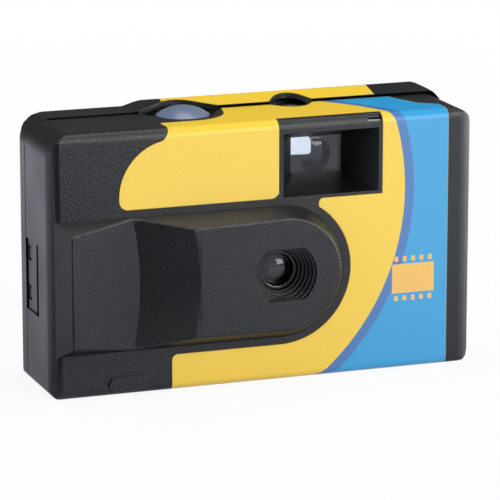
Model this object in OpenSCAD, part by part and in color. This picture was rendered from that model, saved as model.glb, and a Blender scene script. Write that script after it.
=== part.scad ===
// Disposable film camera: two snap-together covers, a printed label, and the film and shutter works inside.
// X runs across the front, Y runs from the lens side to the back, Z is up. Sizes are in millimetres.

/* [Body] */
// Width of the body
body_w = 110; // [108:1:116]
// Height of the front cover
body_h = 65; // [65:0.5:70]
// Depth of the body from the front plane to the back
body_d = 29.5; // [29:0.5:34]
// Depth from the front plane at which the two covers part
seam_d = 20.2; // [19:0.2:21.4]
// Wall thickness of the covers
wall = 1.4; // [1.2:0.1:1.6]
// Rise of the rear cover's raised middle above the front cover
rear_rise = 2; // [1.6:0.1:2.4]
// Rise of the rear cover above the front cover at the seam
seam_step = 0.6; // [0.4:0.1:0.8]
// Radius of the fillet between the front plane and the top
top_fillet = 2.5; // [1.8:0.1:3.2]
// Radius of the upright corner at the grip end of the front
grip_corner = 3.7; // [3:0.1:4.5]
// Radius of the upright corner at the far end of the front
far_corner = 5; // [4:0.1:6]
// Radius of the two upright corners at the back
back_corner = 6; // [4:0.5:7]

/* [Lens island] */
// Distance of the lens axis from the grip end of the body
lens_from_end = 58.5; // [57.5:0.5:60]
// Height of the lens axis and the middle of the film, as a share of the body's height
lens_rise = 0.423; // [0.413:0.001:0.433]
// Radius of the island's round end where it leaves the front plane, as a share of the body's height
island_share = 0.2555; // [0.244:0.0005:0.26]
// Rise of the island above the front plane at its highest line
island_h = 5.2; // [4.6:0.1:5.8]
// Fall of the plateau per millimetre towards the round end
plateau_fall = 0.036; // [0.02:0.002:0.05]
// Lean of the island's walls, in degrees
draft = 30; // [24:1:32]
// Rise of the finger grip at its outer edge
grip_h = 4.7; // [4.2:0.1:5]

/* [Optics] */
// Radius of the taking lens
lens_r = 4.05; // [3.8:0.05:4.2]
// Radius of the mouth of the lens well
well_r = 8; // [7.6:0.1:8.4]
// Number of fine steps down the lens well
well_steps = 6; // [4:1:8]
// Width of the viewfinder mouth
finder_w = 25; // [24:0.5:26]
// Distance from the top down to the viewfinder mouth
finder_top = 3.45; // [3.2:0.05:3.9]
// Distance from the island up to the viewfinder mouth
finder_gap = 1.75; // [1.4:0.05:2.2]
// Width of the viewfinder front lens
finder_lens_w = 14.2; // [13:0.2:15]
// Height of the viewfinder front lens
finder_lens_h = 10.2; // [9.6:0.2:10.8]
// Depth of the viewfinder mouth
finder_d = 10.5; // [9.5:0.5:11]

/* [Controls] */
// Radius of the shutter button
button_r = 6.6; // [6:0.1:7]
// Travel of the shutter button
button_travel = 1.5; // [1:0.1:1.8]
// Radius of the film advance wheel
wheel_r = 13.2; // [12.8:0.1:13.6]
// Thickness of the film advance wheel
wheel_t = 4.5; // [3.5:0.1:5]
// How far the advance wheel stands out of its thumb scoop
wheel_proud = 0.8; // [0.6:0.1:1]
// Radius of the frame counter
counter_r = 9.5; // [9:0.1:9.8]
// Radius of the counter window
window_r = 2.8; // [2.4:0.1:3]

/* [Film] */
// Radius of the film cassette over its end caps
cassette_r = 12.3; // [12:0.1:12.5]
// Height of the film cassette
cassette_h = 44; // [43:0.5:45]
// Height of the film
film_h = 35; // [34:0.5:35.5]
// Width of the picture gate
gate_w = 36; // [34:0.5:37]
// Height of the picture gate
gate_h = 24; // [23:0.5:25]
// Radius of the unexposed film roll
roll_r = 9.6; // [9:0.1:9.8]
// Teeth of the film sprocket
sprocket_teeth = 8; // [6:1:10]

/* [Clearances] */
// Gap around moving pieces
gap = 0.3; // [0.25:0.05:0.4]
// Radial clearance of shafts in their bearings
run = 0.06; // [0.03:0.01:0.09]
// Gap around pieces that are pushed or glued into place
seat = 0.1; // [0.05:0.05:0.15]
// Thickness of the label
label_t = 0.2; // [0.15:0.05:0.3]

/* [Hidden] */
$fn = 64;

black = "#2b2c30";
left = -body_w / 2;
right = body_w / 2;
big = 2 * body_w;
eps = 0.01;
// Lets round corners cross the flat faces at a slight angle
graze = 0.06;

// Island layout, measured from the grip end and from the front plane
lens_x = left + lens_from_end;
lens_z = lens_rise * body_h;
rear_h = body_h + rear_rise;
island_r = island_share * body_h;
grip_x = left + 4.2;
valley_x = left + 22.5;
crest_x = left + 36.3;
island_back = 3.4;
grip_wall_lean = 27;
grip_slope = atan(grip_h / (valley_x - grip_x));
ramp_slope = atan(island_h / (crest_x - valley_x));
ramp_r = 42;

// Lens well and lens stack, from front to back
well_floor = 2;
well_mouth_h = 13;
well_end_r = lens_r + 0.95;
well_wall = 1.3;
retainer_t = 0.7;
lens_front = 2.4;
lens_t = 2.1;
holder_back = 5.7;
holder_half = 12;
holder_notch = 6.4;
holder_collar = 2.3;
blade_y = 6.1;
blade_t = 0.4;
plate_y = 7;
plate_t = 1;

// Viewfinder
finder_x = lens_x + 13.2;
finder_sill = lens_z + island_r + finder_gap;
finder_h = body_h - finder_top - finder_sill;
finder_z = finder_sill + finder_h / 2;
finder_lens_curve = 16;
finder_wall = 1.2;
finder_lens_t = 1.6;
bezel_side = 1;
bezel_half = finder_w / 2 + bezel_side;
label_neck = 28.3;
eyepiece_w = 10;
eyepiece_h = 8;
eyepiece_t = 1.3;
eyepiece_curve = 22;

// Top controls
recess_t = 1;
floor_t = 1.4;
button_x = lens_x - 19.1;
button_y = seam_d - 3;
button_well_r = button_r + 1.2;
button_crown = 1.9;
button_dome = 2.2;
flange_t = 0.8;
counter_x = lens_x + 10.2;
counter_well_r = window_r + 1.6;

// Film works
cassette_x = left + wall + 2 * gap + wheel_r;
cassette_y = body_d - wall - 0.8 - cassette_r;
cassette_z = lens_z - cassette_h / 2;
chamber_r = cassette_r + 0.4;
chamber_wall = 0.8;
floor_plate = 1;
film_t = 0.15;
film_y = body_d - wall - 3.4;
supply_r = roll_r + 1;
supply_wall = 1;
supply_x = right - wall - 0.5 - supply_r - supply_wall;
supply_y = film_y - roll_r - 0.05;
gate_t = 1.2;
rail_t = 0.35;
gate_y = film_y - 0.05 - rail_t - gate_t;
deck_z = cassette_z + cassette_h + 0.7;
deck_t = 1.4;
deck_end = finder_x - finder_lens_w / 2 - finder_wall - gap;
lever_z = deck_z + deck_t + 0.6;
lever_t = 2;
wheel_z = deck_z + deck_t + 1.8;
scoop_r = 16;
scoop_wall = 1;

// Sprocket and counter
sprocket_r = 6.05;
sprocket_axle_r = 1.6;
sprocket_y = film_y - sprocket_r - 0.15;
sprocket_z = lens_z + gate_h / 2 + 2.4;
counter_axis_x = counter_x + 6.8;
counter_axis_y = seam_d - 3.4;
counter_t = 0.8;
counter_z = body_h - recess_t - floor_t - 0.6 - gap - counter_t - 0.1;
counter_teeth = 40;
finger_r = 6.7;
sprocket_reach = counter_r + 0.1 + finger_r + gap;
sprocket_x = counter_axis_x - sqrt(pow(sprocket_reach, 2) - pow(counter_axis_y - sprocket_y, 2));
cam_r = 4.5;

// Shutter works
blade_pin_x = lens_x - 9;
blade_pin_z = lens_z + 6;
blade_disc_r = 3.2;
aperture_r = 2;
tab_top = lever_z + lever_t;
tail_x = blade_pin_x - 6;
spring_foot = lens_z - 7;
spring_y = blade_y - 1.6;
peg_r = 0.7;
wire_r = 0.22;
drive_x = blade_pin_x - 2.1;
drive_y = 15.5;
post_r = 1.5;
coil_r = post_r + 0.5;
meter_x = sprocket_x - 13.1;
meter_y = sprocket_y + 4.4;

// Snap latches on the grip end
latch_h = 3.4;
hook_reach = 3.4;
lip_t = 0.9;
lip_reach = 2;
latch_z = [lens_z - 6.3, lens_z + 3.6];
pocket_z = [lens_z - 8.8, lens_z + 8.9];

function plateau(x) = island_h - plateau_fall * (x - crest_x);

// Everything is drawn from the front plane, then centred front to back
module placed() {
  translate([0, (island_h - body_d) / 2, 0]) children();
}

// Upright prism of a plan outline
module upright(z0, z1) {
  translate([0, 0, z0]) linear_extrude(z1 - z0) children();
}

// Prism of a front-view outline, from depth y0 to y1
module fore_aft(y0, y1) {
  translate([0, y1, 0]) rotate([90, 0, 0]) linear_extrude(y1 - y0) children();
}

// Prism of a side-view outline (depth, height), from x0 to x1
module across(x0, x1) {
  translate([x0, 0, 0]) rotate([90, 0, 90]) linear_extrude(x1 - x0) children();
}

// Round bar along the depth
module bar_y(x, z, y0, y1, r) {
  translate([x, y1, z]) rotate([90, 0, 0]) cylinder(h = y1 - y0, r = r);
}

// Round bar along the height
module bar_z(x, y, z0, z1, r) {
  translate([x, y, z0]) cylinder(h = z1 - z0, r = r);
}

module box(x, y, z) {
  translate([x[0], y[0], z[0]]) cube([x[1] - x[0], y[1] - y[0], z[1] - z[0]]);
}

// Rectangle with its own radius at each corner: lower left, lower right, upper right, upper left
module round_rect(u, v, r) {
  difference() {
    translate([u[0], v[0]]) square([u[1] - u[0], v[1] - v[0]]);
    corner_cut(u[0], v[0], r[0], 0);
    corner_cut(u[1], v[0], r[1], 90);
    corner_cut(u[1], v[1], r[2], 180);
    corner_cut(u[0], v[1], r[3], 270);
  }
}

module corner_cut(u, v, r, turn) {
  translate([u, v]) rotate(turn) difference() {
    translate([-1, -1]) square(r + 1);
    translate([r, r]) circle(r);
  }
}

// Flat link between two points with round ends
module link(a, b, w) {
  d = b - a;
  translate(a) circle(w / 2);
  translate(b) circle(w / 2);
  translate(a) rotate(atan2(d[1], d[0])) translate([0, -w / 2]) square([norm(d), w]);
}

// Four-sided funnel along the depth, centred on (x, z)
module funnel(x, z, y, w, h) {
  intersection() {
    upright(z - big, z + big) polygon([[x - w[0] / 2, y[0]], [x + w[0] / 2, y[0]],
                                       [x + w[1] / 2, y[1]], [x - w[1] / 2, y[1]]]);
    across(x - big, x + big) polygon([[y[0], z - h[0] / 2], [y[0], z + h[0] / 2],
                                      [y[1], z + h[1] / 2], [y[1], z - h[1] / 2]]);
  }
}

// Corner radii after an inset by g
function inset(radii, g) = [for (r = radii) max(0.3, r - g)];

// Outer form of the front cover, run on to the back and inset by g: three outlines cut from one another
module body_solid(g) {
  z = [g, body_h - g];
  intersection() {
    fore_aft(-1, body_d + 1)
      round_rect([left + g - graze, right - g + graze], z + [-graze, graze], inset([3, 4.5, 6.5, 6.5], g));
    across(left - 1, right + 1) round_rect([g, body_d - g], z, inset([2, 3, 3, top_fillet], g));
    upright(-1, body_h + 1) plan_outline(g);
  }
}

// Outer form of the rear cover, inset by g
module rear_solid(g) {
  intersection() {
    fore_aft(seam_d - 6, body_d + 1) rear_outline(g);
    across(left - 1, right + 1) rear_profile(g);
    upright(-1, rear_h + 1) plan_outline(g);
  }
}

module plan_outline(g) {
  round_rect([left + g, right - g], [g - graze, body_d - g + graze],
             inset([grip_corner, far_corner, back_corner, back_corner], g));
}

// Rear cover from behind, with the low shoulder and the ramp up to the raised middle
module rear_outline(g) {
  low = body_h + seam_step / 2 - g;
  top = rear_h - g;
  ramp = [button_x - 12, button_x - 7.3];
  run = (ramp[1] - ramp[0]) / (top - low);
  difference() {
    round_rect([left + g - graze, right - g + graze], [g - graze, top + graze], inset([3, 4.5, 8, 0.5], g));
    polygon([[left - 1, low], [ramp[0], low], [ramp[0] + run * (top + 2 - low), top + 2], [left - 1, top + 2]]);
    corner_cut(left + g - graze, low, inset([7.5], g)[0], 270);
  }
}

// Rear cover from the end, with the top falling towards the seam
module rear_profile(g) {
  top_r = 3;
  run = body_d - top_r - 0.4 - seam_d;
  fall = (rear_rise - seam_step) / run;
  base = body_h + seam_step - g * sqrt(1 + pow(fall, 2));
  difference() {
    round_rect([seam_d - 6, body_d - g], [g, rear_h - g], inset([0.5, 3, top_r, 0.5], g));
    polygon([[seam_d - 7, base - 7 * fall], [body_d + 1, base + (body_d + 1 - seam_d) * fall],
             [body_d + 1, rear_h + 5], [seam_d - 7, rear_h + 5]]);
  }
}

// Pad with leaning walls and one round end, before its face is shaped
module island_pad(g) {
  lean = tan(draft);
  r = island_r - g / cos(draft);
  top = island_h;
  low = r + island_back * lean;
  high = r - top * lean;
  translate([lens_x, island_back, lens_z]) rotate([90, 0, 0])
    cylinder(h = island_back + top, r1 = low, r2 = high);
  across(left - 1, lens_x)
    polygon([[island_back, lens_z - low + graze], [island_back, lens_z + low - graze],
             [-top, lens_z + high - graze], [-top, lens_z - high + graze]]);
}

// Raised lens island with the finger grip beside it, inset by g
module island(g) {
  intersection() {
    island_pad(g);
    union() {
      difference() {
        upright(0, body_h) polygon([[valley_x - 4, island_back], [valley_x - 4, g - plateau(valley_x - 4)],
                                    [right, g - plateau(right)], [right, island_back]]);
        finger_ramp(g);
      }
      upright(0, body_h) grip_outline(g);
    }
  }
}

// Cone that hollows the slope between the finger valley and the plateau
module finger_ramp(g) {
  reach = island_h + 2;
  r = ramp_r + g / sin(ramp_slope);
  translate([valley_x - ramp_r, 1, lens_z]) rotate([90, 0, 0])
    cylinder(h = reach + 1, r1 = r - 1 / tan(ramp_slope), r2 = r + reach / tan(ramp_slope), $fn = 128);
}

// Plan of the grip: a leaning end wall, then a face that falls to the valley
module grip_outline(g) {
  tf = tan(grip_slope);
  tl = tan(grip_wall_lean);
  wall_x = grip_x - grip_h * tl + g / cos(grip_wall_lean);
  p = ((valley_x - wall_x) * tf - g / cos(grip_slope)) / (1 + tl * tf);
  polygon([[wall_x - island_back * tl, island_back], [wall_x + p * tl, -p],
           [valley_x - g / sin(grip_slope), 0], [valley_x, island_back]]);
}

// Stepped light trap in front of the lens
module lens_well() {
  front = -plateau(lens_x);
  rise = (well_floor - front) / well_steps;
  for (i = [0:well_steps - 1]) {
    share = i / (well_steps - 1);
    r = well_r + (well_end_r - well_r) * share;
    half = well_mouth_h / 2 + (well_end_r + 1 - well_mouth_h / 2) * share;
    intersection() {
      bar_y(lens_x, lens_z, front + i * rise - (i == 0 ? 2 : eps), front + (i + 1) * rise + eps, r);
      box([lens_x - big, lens_x + big], [-big, big], [lens_z - half, lens_z + half]);
    }
  }
}

// Well on the top around a round control, with points that run out along the seam
module top_well(x, y, r, reach) {
  tip = seam_d - y;
  c = sqrt(reach * reach + tip * tip);
  turn = acos(r / c);
  inner = 0.998 * r;
  translate([x, y]) {
    circle(r);
    for (s = [-1, 1]) {
      a = atan2(tip, s * reach);
      polygon([[s * reach, tip], inner * [cos(a + turn), sin(a + turn)], [0, 0],
               inner * [cos(a - turn), sin(a - turn)]]);
    }
  }
}

module button_well() {
  top_well(button_x, button_y, button_well_r, button_well_r + 2.6);
}

module counter_well() {
  top_well(counter_x, seam_d, counter_well_r, counter_well_r + 1.2);
}

// Front outline of the label, with s of clearance round its edges
module label_outline(s) {
  sill = finder_sill - 0.1;
  bezel_x = finder_x - bezel_half;
  difference() {
    union() {
      label_lobe(sill, s);
      round_rect([lens_x - 30, bezel_x + s], [sill - s, sill + 6], [0.1, 2, 0.1, 0.1]);
      translate([lens_x - label_neck - s, sill + 1]) square([finder_x - lens_x + label_neck, body_h]);
    }
    translate([bezel_x + s, 0]) square([big, big]);
  }
  translate([bezel_x, body_h - top_fillet]) square([2 * bezel_half, big]);
  label_field(finder_x + bezel_half, s);
}

// Rounded end of the label over the grip, with the hollow curve up to the top edge
module label_lobe(sill, s) {
  r = 13.7;
  c = [lens_x - 27.4, sill + 2.95];
  heel_r = 2.3;
  heel_x = c[0] - sqrt(pow(r, 2) - pow(sill + heel_r - c[1], 2)) + heel_r;
  neck_r = 4;
  neck_x = lens_x - label_neck - neck_r;
  neck = [neck_x, c[1] + neck_r + sqrt(pow(r, 2) - pow(neck_x - c[0], 2))];
  difference() {
    translate(c) circle(r + s);
    translate([left, 0]) square([heel_x - left, sill + heel_r]);
    translate([left, 0]) square([body_w, sill - s]);
  }
  translate([heel_x, sill + heel_r]) circle(heel_r + s);
  translate([heel_x, sill - s]) square([3, heel_r + 1]);
  difference() {
    translate([neck[0] + s, c[1] + 8]) square([neck_r + 1, neck[1] - c[1] - 8]);
    translate(neck) circle(neck_r - s);
  }
}

// Main field of the label: under the viewfinder, round the island's end and along the bottom
module label_field(bezel_end, s) {
  margin_r = island_r + 1.8;
  end_x = right - 7.25;
  difference() {
    union() {
      round_rect([lens_x + 10 - s, end_x + s], [-1, finder_sill - 0.75 + s], [0.1, 0.1, 0.1, 1.2]);
      translate([bezel_end - s, 0]) square([end_x - bezel_end + 2 * s, body_h + 1]);
      translate([lens_x, -1]) square([11, lens_z - margin_r / 2]);
      round_rect([lens_x - 28 - s, lens_x + 1], [-1, lens_z - margin_r + s], [0.1, 0.1, 0.1, 1.5]);
    }
    translate([lens_x, lens_z]) circle(margin_r - s);
  }
}

// Space that the front label takes on the outside of the body
module front_label_zone(s) {
  difference() {
    intersection() {
      fore_aft(-1, seam_d) label_outline(s);
      box([left, right], [-1, seam_d - 0.3 + s], [-1, body_h + 1]);
    }
    body_solid(label_t);
    fore_aft(-2, 2.8 - s)
      round_rect([finder_x - bezel_half + s, finder_x + bezel_half - s], [finder_sill - 0.75 + s, big],
                 [0.1, 1, 0.1, 0.1]);
    upright(body_h - 4, body_h + 1) {
      counter_margin(0.3 - s);
      button_margin(2.2 - s);
      polygon([[right - 15.5 + s, seam_d], [right - 13.6 + s, 14.4], [right - 11.6 + s, 9.9 + s],
               [right - 6.8 + s, 6 + s], [right, 6 + s], [right, seam_d]]);
    }
  }
}

// Bare top round the button, d wider than its well, and open towards the grip end
module button_margin(d) {
  r = button_well_r + d;
  top_well(button_x, button_y, r, r + 0.9);
  translate([left, button_y - r]) square([button_x - left, seam_d - button_y + r]);
}

module counter_margin(d) {
  top_well(counter_x, seam_d, counter_well_r + d, counter_well_r + 1.2 + d);
}

// Outline of both top wells, grown by d
module offset_well(d) {
  top_well(button_x, button_y, button_well_r + d, button_well_r + 2.6 + d);
  counter_margin(d);
}

// Space that the rear label takes on the outside of the body
module rear_label_zone(s) {
  x = [button_x - 3 - s, finder_x + 19.5 + s];
  difference() {
    box(x, [seam_d + 0.3 - s, body_d + 1], [-1, rear_h + 1]);
    rear_solid(label_t);
    fore_aft(body_d - wall, body_d + 1)
      translate([finder_x, finder_z]) round_rect((8 - s) * [-1, 1], (6.5 - s) * [-1, 1], [2, 2, 2, 2]);
    upright(body_h - 4, rear_h + 1) offset_well(0.3 - s);
  }
}

module front_cover() {
  color(black) placed() difference() {
    union() {
      difference() {
        union() {
          intersection() {
            body_solid(0);
            box([left - 1, right + 1], [-1, seam_d], [-1, body_h + 1]);
          }
          island(0);
          foot_bar();
        }
        body_solid(wall);
        island(wall);
      }
      bar_y(lens_x, lens_z, 0.5 - plateau(lens_x), well_floor, well_r + well_wall);
      finder_tube();
      top_floor();
      counter_pin();
    }
    front_label_zone(seat);
    lens_well();
    funnel(finder_x, finder_z, [-eps, finder_d],
           [finder_w, finder_lens_w - 1], [finder_h, finder_lens_h - 1]);
    box([finder_x - finder_lens_w / 2 - seat, finder_x + finder_lens_w / 2 + seat], [finder_d - eps, big],
        [finder_z - finder_lens_h / 2 - seat, finder_z + finder_lens_h / 2 + seat]);
    upright(body_h - recess_t, body_h + 1) {
      button_well();
      counter_well();
    }
    bar_z(button_x, button_y, body_h - 10, body_h + 1, button_r + gap);
    bar_z(counter_x, seam_d, body_h - 10, body_h + 1, window_r + seat);
    side_pocket();
    bezel_notch();
  }
}

// Small sunk window on the top edge, at the far end of the viewfinder surround
module bezel_notch() {
  difference() {
    box([finder_x + bezel_half - 3.8, finder_x + bezel_half - 0.3], [-1, 1.5], [body_h - 1.9, body_h + 1]);
    body_solid(0.5);
  }
}

// Raised bar low on the grip end of the front
module foot_bar() {
  bar_len = 10.5;
  bar_h = 3.5;
  x = lens_x - 38.8;
  fore_aft(-0.7, 1) round_rect([x - bar_len / 2, x + bar_len / 2], [1.2, 1.2 + bar_h],
                               [bar_h / 2, bar_h / 2, bar_h / 2, bar_h / 2]);
}

module finder_tube() {
  end = finder_d + finder_lens_t + 0.4;
  difference() {
    union() {
      funnel(finder_x, finder_z, [0.5, finder_d], [finder_w + 1.4, finder_lens_w - 1 + 2 * finder_wall],
             [finder_h + 1.4, finder_lens_h - 1 + 2 * finder_wall]);
      box([finder_x - finder_lens_w / 2 - finder_wall, finder_x + finder_lens_w / 2 + finder_wall],
          [finder_d - 1, end],
          [finder_z - finder_lens_h / 2 - finder_wall, finder_z + finder_lens_h / 2 + finder_wall]);
    }
    difference() {
      box([left, right], [-1, 2 * wall], [0, big]);
      body_solid(wall / 2);
    }
  }
}

// Floor of both top wells, which reaches back under the notches in the rear cover
module top_floor() {
  intersection() {
    body_solid(0);
    upright(body_h - recess_t - floor_t, body_h - recess_t) {
      button_well();
      counter_well();
      for (p = [[button_x, button_y, button_well_r], [counter_x, seam_d, counter_well_r]])
        translate([p[0] - p[2] - 1, p[1] - p[2] - 1]) square([2 * p[2] + 2, seam_d - p[1] + p[2] + 1]);
    }
  }
}

// Pin under the top that carries the frame counter, with a bead that keeps it on
module counter_pin() {
  bar_z(counter_axis_x, counter_axis_y, counter_z - 0.7, body_h - wall + 0.2, post_r);
  bar_z(counter_axis_x, counter_axis_y, counter_z - 0.7, counter_z - gap, post_r + 0.35);
  bar_z(counter_axis_x, counter_axis_y, counter_z + counter_t + gap, body_h - wall + 0.2, post_r + 0.8);
}

// Shallow pocket with two latch windows on the grip end
module side_pocket() {
  pocket_y = seam_d - 10.2;
  box([left - 1, left + 0.4], [pocket_y, seam_d + 1], pocket_z);
  box([left - 1, left + 0.9], [pocket_y, pocket_y + 2.7], pocket_z);
  for (z = latch_z) box([left - 1, left + wall + 1], [seam_d - 3, seam_d - 0.6], [z, z + latch_h]);
}

module rear_cover() {
  color(black) placed() difference() {
    union() {
      difference() {
        union() {
          intersection() {
            rear_solid(0);
            box([left - 1, right + 1], [seam_d, body_d + 1], [-1, rear_h + 1]);
          }
          seam_lip();
        }
        body_solid(wall + lip_t);
        difference() {
          rear_solid(wall);
          box([left, right], [-1, seam_d + wall], [-1, rear_h + 1]);
        }
      }
      intersection() {
        rear_solid(0);
        thumb_scoop(scoop_wall);
      }
      eyepiece_frame();
      pressure_rails();
      latch_hooks();
    }
    thumb_scoop(0);
    wheel_slot();
    rear_label_zone(seat);
    upright(body_h - 6, rear_h + 1) offset_well(seat);
    eyepiece_cut();
  }
}

// Lip that locates the rear cover inside the front one
module seam_lip() {
  difference() {
    intersection() {
      body_solid(wall + seat);
      box([left, right], [seam_d - lip_reach, seam_d + wall], [-1, body_h]);
    }
    upright(body_h - 8, body_h) offset_well(1.6);
    bar_z(counter_axis_x, counter_axis_y, body_h - 8, body_h, post_r + 0.8 + gap);
  }
  intersection() {
    rear_solid(wall / 2);
    box([left, right], [seam_d, seam_d + wall], [-1, rear_h]);
  }
}

// Hollow for the thumb over the advance wheel
module thumb_scoop(g) {
  depth = cassette_y + wheel_r - wheel_proud;
  half = 11.5 + g;
  intersection() {
    translate([0, depth + scoop_r, wheel_z + wheel_t / 2]) rotate([0, 90, 0])
      cylinder(h = big, r = scoop_r + g, center = true);
    box([cassette_x - half, cassette_x + half], [0, big], [0, big]);
  }
}

module wheel_slot() {
  box([cassette_x - 8.2, cassette_x + 8.2], [cassette_y, big], [wheel_z - gap, wheel_z + wheel_t + gap]);
}

module eyepiece_frame() {
  w = eyepiece_w / 2 + 1;
  h = eyepiece_h / 2 + 1;
  box([finder_x - w, finder_x + w], [body_d - wall - eyepiece_t, body_d - wall / 2],
      [finder_z - h, finder_z + h]);
}

module eyepiece_cut() {
  box([finder_x - eyepiece_w / 2 - seat, finder_x + eyepiece_w / 2 + seat],
      [0, body_d - wall], [finder_z - eyepiece_h / 2 - seat, finder_z + eyepiece_h / 2 + seat]);
  fore_aft(0, body_d + 1)
    round_rect([finder_x - eyepiece_w / 2 + 0.6, finder_x + eyepiece_w / 2 - 0.6],
               [finder_z - eyepiece_h / 2 + 0.6, finder_z + eyepiece_h / 2 - 0.6], [1, 1, 1, 1]);
}

// Ribs that keep the film flat against the gate
module pressure_rails() {
  for (s = [-1, 1]) {
    z = lens_z + s * (gate_h / 2 + 2);
    box([lens_x - gate_w / 2 - 5, lens_x + gate_w / 2 + 5], [film_y + film_t + gap, body_d - wall / 2],
        [z - 0.6, z + 0.6]);
  }
}

module latch_hooks() {
  for (z = latch_z) {
    box([left + wall + seat, left + wall + lip_t], [seam_d - hook_reach, seam_d + wall],
        [z + gap, z + latch_h - gap]);
    box([left + 0.6, left + wall + lip_t], [seam_d - 2.8, seam_d - 0.8], [z + gap, z + latch_h - gap]);
  }
}

module main_frame() {
  color("#34353a") placed() difference() {
    union() {
      chamber(cassette_x, cassette_y, chamber_r, chamber_wall,
              [cassette_z - 0.2 - floor_plate, deck_z + deck_t]);
      chamber(supply_x, supply_y, supply_r, supply_wall,
              [lens_z - film_h / 2 - 3.6, lens_z + film_h / 2 + 3.6]);
      film_gate();
      light_box();
      shutter_plate();
      deck();
    }
    bar_z(cassette_x, cassette_y, 0, body_h, 5.6);
    bar_z(supply_x, supply_y, 0, body_h, post_r + run);
    bar_z(sprocket_x, sprocket_y, 0, body_h, sprocket_axle_r + run);
    sprocket_window();
    bar_y(lens_x, lens_z, 0, plate_y + 2, aperture_r);
    lip_room();
  }
}

// Room for the lip of the rear cover
module lip_room() {
  difference() {
    box([left - 1, right + 1], [seam_d - hook_reach - gap, body_d], [-1, body_h + 1]);
    body_solid(wall + lip_t + gap);
  }
}

// Round chamber that opens to the back, with a floor and a ceiling
module chamber(x, y, r, t, z) {
  mouth = gate_y + gate_t - 1;
  difference() {
    union() {
      bar_z(x, y, z[0], z[1], r + t);
      box([x - r - t, x + r + t], [y, mouth], z);
    }
    bar_z(x, y, z[0] + floor_plate, z[1] - deck_t, r);
    box([x - r, x + r], [y, big], [z[0] + floor_plate, z[1] - deck_t]);
    box([x - big, x + big], [mouth, big], [0, big]);
  }
}

// Plate behind the light box with the picture gate and the two film rails
module film_gate() {
  half = film_h / 2 + 1;
  x = [cassette_x + chamber_r, supply_x - supply_r];
  difference() {
    union() {
      box(x, [gate_y, gate_y + gate_t], [lens_z - half, lens_z + half]);
      box([x[0], deck_end], [gate_y, gate_y + gate_t], [lens_z, deck_z + deck_t]);
      for (s = [-1, 1]) {
        z = lens_z + s * (gate_h / 2 + 2);
        box([x[0] + 1, x[1] - 1], [gate_y, gate_y + gate_t + rail_t], [z - 0.8, z + 0.8]);
      }
    }
    box([lens_x - gate_w / 2, lens_x + gate_w / 2], [0, big], [lens_z - gate_h / 2, lens_z + gate_h / 2]);
  }
}

// Tapered box that keeps stray light off the film
module light_box() {
  y = [plate_y + plate_t - eps, gate_y + eps];
  difference() {
    funnel(lens_x, lens_z, y, [15.4, gate_w + 2.4], [12.4, gate_h + 2.4]);
    funnel(lens_x, lens_z, [y[0] - eps, y[1] + eps], [13, gate_w], [10, gate_h]);
  }
}

// Front plate with the shutter hole, the blade's pin, the spring's peg and the holder's posts
module shutter_plate() {
  y = [plate_y, plate_y + plate_t];
  box([lens_x - 17.5, lens_x + 15], y, [lens_z - 13, lens_z + 15]);
  box([lens_x - 17.5, lens_x - 1], y, [lens_z, deck_z + deck_t]);
  bar_y(blade_pin_x, blade_pin_z, holder_back + 0.1, plate_y + eps, 1);
  bar_y(tail_x, spring_foot, spring_y - 0.8, plate_y + eps, peg_r);
  for (p = holder_posts()) bar_y(p[0], p[1], holder_back, plate_y + eps, 1.6);
}

function holder_posts() = [for (d = [[-1, -1], [1, -1], [1, 1]]) [lens_x, lens_z] + 9.5 * d];

// Deck over the light box with the posts of the levers and the wheel's pawl arm
module deck() {
  box([cassette_x + chamber_r, lens_x - 1], [plate_y, gate_y + gate_t], [deck_z, deck_z + deck_t]);
  box([cassette_x + chamber_r, deck_end], [finder_d, gate_y + gate_t], [deck_z, deck_z + deck_t]);
  bar_z(drive_x, drive_y, deck_z, lever_z + lever_t + 4.2, post_r);
  bar_z(meter_x, meter_y, deck_z, lever_z + lever_t + 0.4, post_r);
  bar_z(drive_x + coil_r + wire_r + peg_r + 0.05, drive_y + 3, deck_z, lever_z + lever_t + 4.2, peg_r);
  box([cassette_x + wheel_r + gap, cassette_x + wheel_r + gap + 1.2], [cassette_y - 2, cassette_y + 4],
      [deck_z, wheel_z + wheel_t]);
}

module sprocket_window() {
  half = sprocket_r + 0.6;
  box([sprocket_x - half, sprocket_x + half], [sprocket_y - half, big],
      [sprocket_z - gap, sprocket_z + 2.4 + gap]);
}

module front_label() {
  color("#f2cf55") placed() intersection() {
    front_label_zone(0);
    body_solid(0);
  }
}

module rear_label() {
  color("#f2cf55") placed() difference() {
    intersection() {
      rear_label_zone(0);
      rear_solid(0);
    }
    thumb_scoop(scoop_wall);
  }
}

// Domed button with a flange that stops it under the well floor
module shutter_button() {
  flange_z = body_h - recess_t - floor_t - gap;
  crown_r = (pow(button_r, 2) + pow(button_dome, 2)) / (2 * button_dome);
  color("#7f8db0") placed() {
    intersection() {
      bar_z(button_x, button_y, flange_z - flange_t, body_h + button_crown, button_r);
      translate([button_x, button_y, body_h + button_crown - crown_r]) sphere(crown_r, $fn = 128);
    }
    bar_z(button_x, button_y, flange_z - flange_t, flange_z, button_r + 1);
    bar_z(button_x, button_y, lever_z + lever_t + button_travel + gap, flange_z, 1.4);
  }
}

// Clear magnifier over the frame counter
module counter_window() {
  floor_z = body_h - recess_t - floor_t;
  r = 4.2;
  crown_z = body_h - recess_t + 0.5;
  color("#dfe6ea") placed() {
    intersection() {
      bar_z(counter_x, seam_d, floor_z - 0.6, crown_z, window_r);
      translate([counter_x, seam_d, crown_z - r]) sphere(r, $fn = 128);
    }
    bar_z(counter_x, seam_d, floor_z - 0.6, floor_z, window_r + 0.6);
  }
}

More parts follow.
